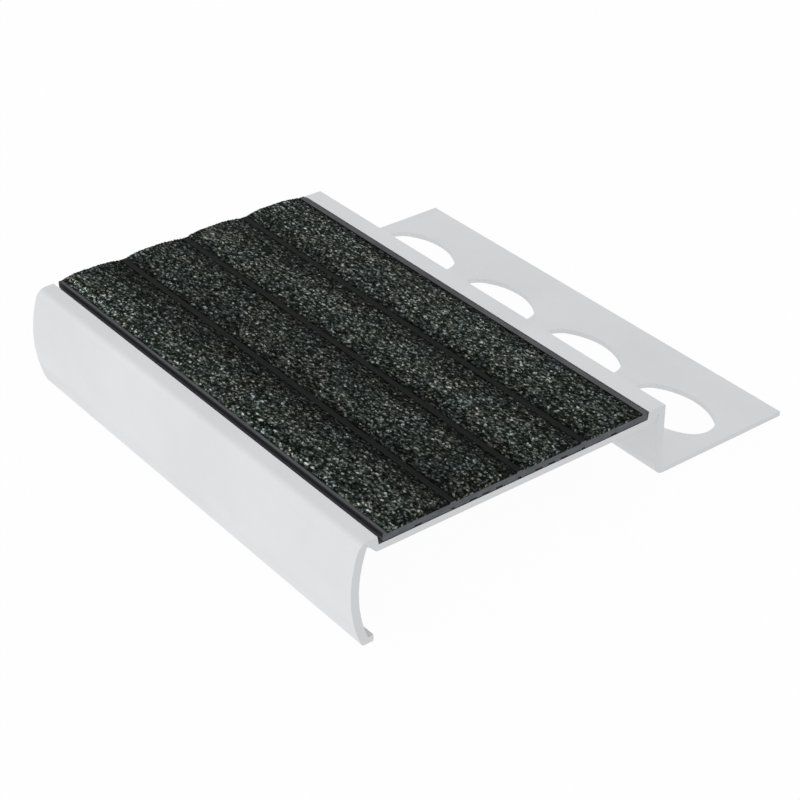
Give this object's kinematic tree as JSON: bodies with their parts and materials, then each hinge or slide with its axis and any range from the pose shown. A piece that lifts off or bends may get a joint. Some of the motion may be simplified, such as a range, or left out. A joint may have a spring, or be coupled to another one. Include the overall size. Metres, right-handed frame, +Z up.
{
  "type": "stair nosing",
  "caption": "Extruded aluminium stair nosing with a bowed front edge, a perforated fixing leg and an anti-slip insert of domed abrasive strips.",
  "frame": {"origin": "on the floor under the middle of the part", "axes": "+X along the length of the extrusion, +Y from the bowed front edge to the fixing leg, +Z up out of the tread"},
  "size_m": [0.1, 0.0968, 0.021],
  "materials": {
    "aluminium": "satin",
    "carrier": "matte",
    "grit": "rough"
  },
  "bodies": {
    "root": {"nosing_profile": "aluminium", "insert_carrier": "carrier", "grit_strip_1": "grit", "grit_strip_2": "grit", "grit_strip_3": "grit", "grit_strip_4": "grit"}
  },
  "joints": []
}
